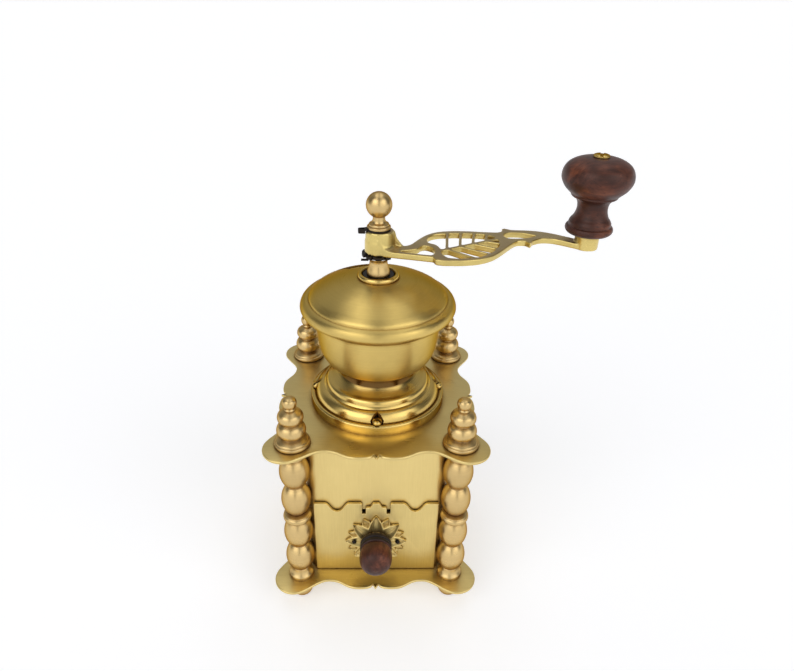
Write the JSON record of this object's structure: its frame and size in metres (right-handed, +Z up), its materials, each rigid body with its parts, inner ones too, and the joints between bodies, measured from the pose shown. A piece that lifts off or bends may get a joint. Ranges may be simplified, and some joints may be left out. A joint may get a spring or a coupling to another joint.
{
  "type": "manual coffee grinder",
  "caption": "Brass table coffee mill: square case with drawer between scalloped plates on turned columns, round hopper, pierced crank arm with wooden knob, conical burrs.",
  "frame": {"origin": "on the table, under the middle of the bounding box of the whole mill at rest", "axes": "+Z up along the spindle, -Y towards the drawer's front, +X towards the crank's knob side"},
  "size_m": [0.2124, 0.1402, 0.286],
  "materials": {
    "brushed_brass": "brushed sheet brass, lightly tarnished",
    "turned_brass": "turned brass, warm, with dark recesses",
    "polished_brass": "polished brass",
    "cast_brass": "cast brass, worn satin",
    "steel": "plain turned steel",
    "black_steel": "blackened steel",
    "cast_iron": "bare cast iron",
    "wood": "dark red-brown stained wood, satin varnish"
  },
  "bodies": {
    "housing": {"bottom_plate": "brushed_brass", "top_plate": "brushed_brass", "case_shell": "brushed_brass", "column_front_left": "turned_brass", "column_front_right": "turned_brass", "column_back_left": "turned_brass", "column_back_right": "turned_brass", "finial_front_left": "turned_brass", "finial_front_right": "turned_brass", "finial_back_left": "turned_brass", "finial_back_right": "turned_brass", "foot_front_left": "turned_brass", "foot_front_right": "turned_brass", "foot_back_left": "turned_brass", "foot_back_right": "turned_brass", "tie_rod_front_left": "steel", "tie_rod_front_right": "steel", "tie_rod_back_left": "steel", "tie_rod_back_right": "steel", "hopper_flange": "polished_brass", "flange_screw_1": "polished_brass", "flange_screw_2": "polished_brass", "flange_screw_3": "polished_brass", "flange_screw_4": "polished_brass", "hopper_bowl": "brushed_brass", "lid_dome": "brushed_brass", "lid_collar": "polished_brass", "dome_bush": "black_steel", "bearing_sleeve": "turned_brass", "retaining_ring": "steel", "sleeve_pin": "black_steel", "outer_burr": "cast_iron", "lower_bridge": "steel", "bridge_screw_left": "steel", "bridge_screw_right": "steel", "drawer_guide_left": "brushed_brass", "drawer_guide_right": "brushed_brass"},
    "drawer": {"drawer_front": "brushed_brass", "drawer_box": "brushed_brass", "rosette": "cast_brass", "rosette_nail_left": "black_steel", "rosette_nail_right": "black_steel", "drawer_knob": "wood", "drawer_knob_screw": "steel"},
    "hatch": {"hatch": "brushed_brass", "hatch_knob": "polished_brass"},
    "thrust_washer": {"thrust_washer": "steel"},
    "adjusting_nut": {"adjusting_nut": "black_steel"},
    "spindle": {"spindle": "steel", "spindle_spring": "steel", "inner_burr": "cast_iron", "crank_arm": "cast_brass", "tab_washer": "black_steel", "ball_nut": "turned_brass", "knob_screw": "polished_brass"},
    "crank_knob": {"crank_knob": "wood"}
  },
  "joints": [
    {"name": "crank_turn", "type": "hinge", "parent": "housing", "child": "thrust_washer", "pos_m": [-0.03902, 0.0029, 0.2262], "axis": [0, 0, 1], "continuous": true},
    {"name": "nut_turn", "type": "hinge", "parent": "thrust_washer", "child": "adjusting_nut", "pos_m": [-0.03902, 0.0029, 0.2269], "axis": [0, 0, 1], "range_deg": [0, 360]},
    {"name": "spindle_lift", "type": "slide", "parent": "thrust_washer", "child": "spindle", "axis": [0, 0, 1], "range_m": [0, 0.001], "deforming": ["spindle_spring"]},
    {"name": "knob_spin", "type": "hinge", "parent": "spindle", "child": "crank_knob", "pos_m": [0.0855, 0.0138, 0.2378], "axis": [0, 0, 1], "continuous": true},
    {"name": "drawer_slide", "type": "slide", "parent": "housing", "child": "drawer", "axis": [0, -1, 0], "range_m": [0, 0.07]},
    {"name": "hatch_turn", "type": "hinge", "parent": "housing", "child": "hatch", "pos_m": [-0.03902, 0.0029, 0.212], "axis": [0, 0, 1], "range_deg": [0, 44]}
  ],
  "couplings": [
    {"joint": "nut_turn", "follows": "spindle_lift", "rad_per_m": 6283.2}
  ]
}
